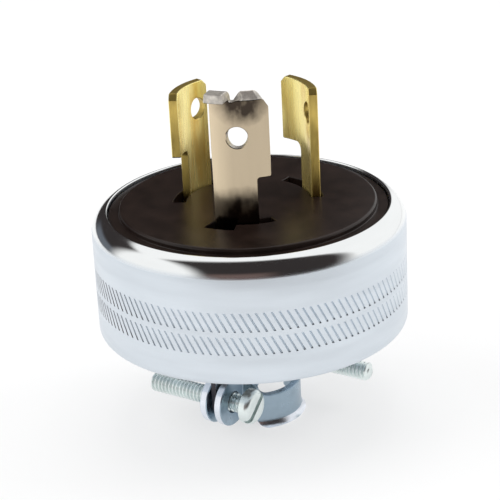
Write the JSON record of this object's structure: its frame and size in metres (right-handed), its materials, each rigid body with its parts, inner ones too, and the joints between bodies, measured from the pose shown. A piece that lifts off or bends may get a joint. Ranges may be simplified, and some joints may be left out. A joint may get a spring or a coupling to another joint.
{
  "type": "locking plug",
  "caption": "Round steel-armoured electrical plug with curved locking blades on a dark phenolic face and a screwed cord clamp beneath.",
  "frame": {"origin": "on the plug's axis, at the lowest edge of the cord clamp", "axes": "+Z along the plug's axis towards the blade tips, X along the clamp screws"},
  "size_m": [0.057, 0.057, 0.0662],
  "materials": {
    "zinc_steel": "bright zinc plate, satin side and polished shoulder",
    "clamp_steel": "bluish zinc plate",
    "screw_steel": "zinc plate with an olive tint",
    "phenolic": "glossy dark brown moulding",
    "brass": "bare stamped brass",
    "nickel": "nickel plate on brass, tarnished near the hook",
    "fibre": "vulcanised fibre sheet"
  },
  "bodies": {
    "root": {"armor_shell": "zinc_steel", "face_insert": "phenolic", "terminal_block": "phenolic", "fibre_disc": "fibre", "fibre_liner": "fibre", "neutral_blade": "nickel", "line_blade_x": "brass", "line_blade_y": "brass", "terminal_screw_n": "screw_steel", "terminal_screw_x": "brass", "terminal_screw_y": "brass", "wire_plate_n": "brass", "wire_plate_x": "brass", "wire_plate_y": "brass", "assembly_screw_right": "screw_steel", "assembly_screw_left": "screw_steel", "assembly_nut_right": "screw_steel", "assembly_nut_left": "screw_steel", "clamp_strap_front": "clamp_steel", "clamp_strap_rear": "clamp_steel", "clamp_screw_front": "screw_steel", "clamp_screw_rear": "screw_steel"}
  },
  "joints": []
}
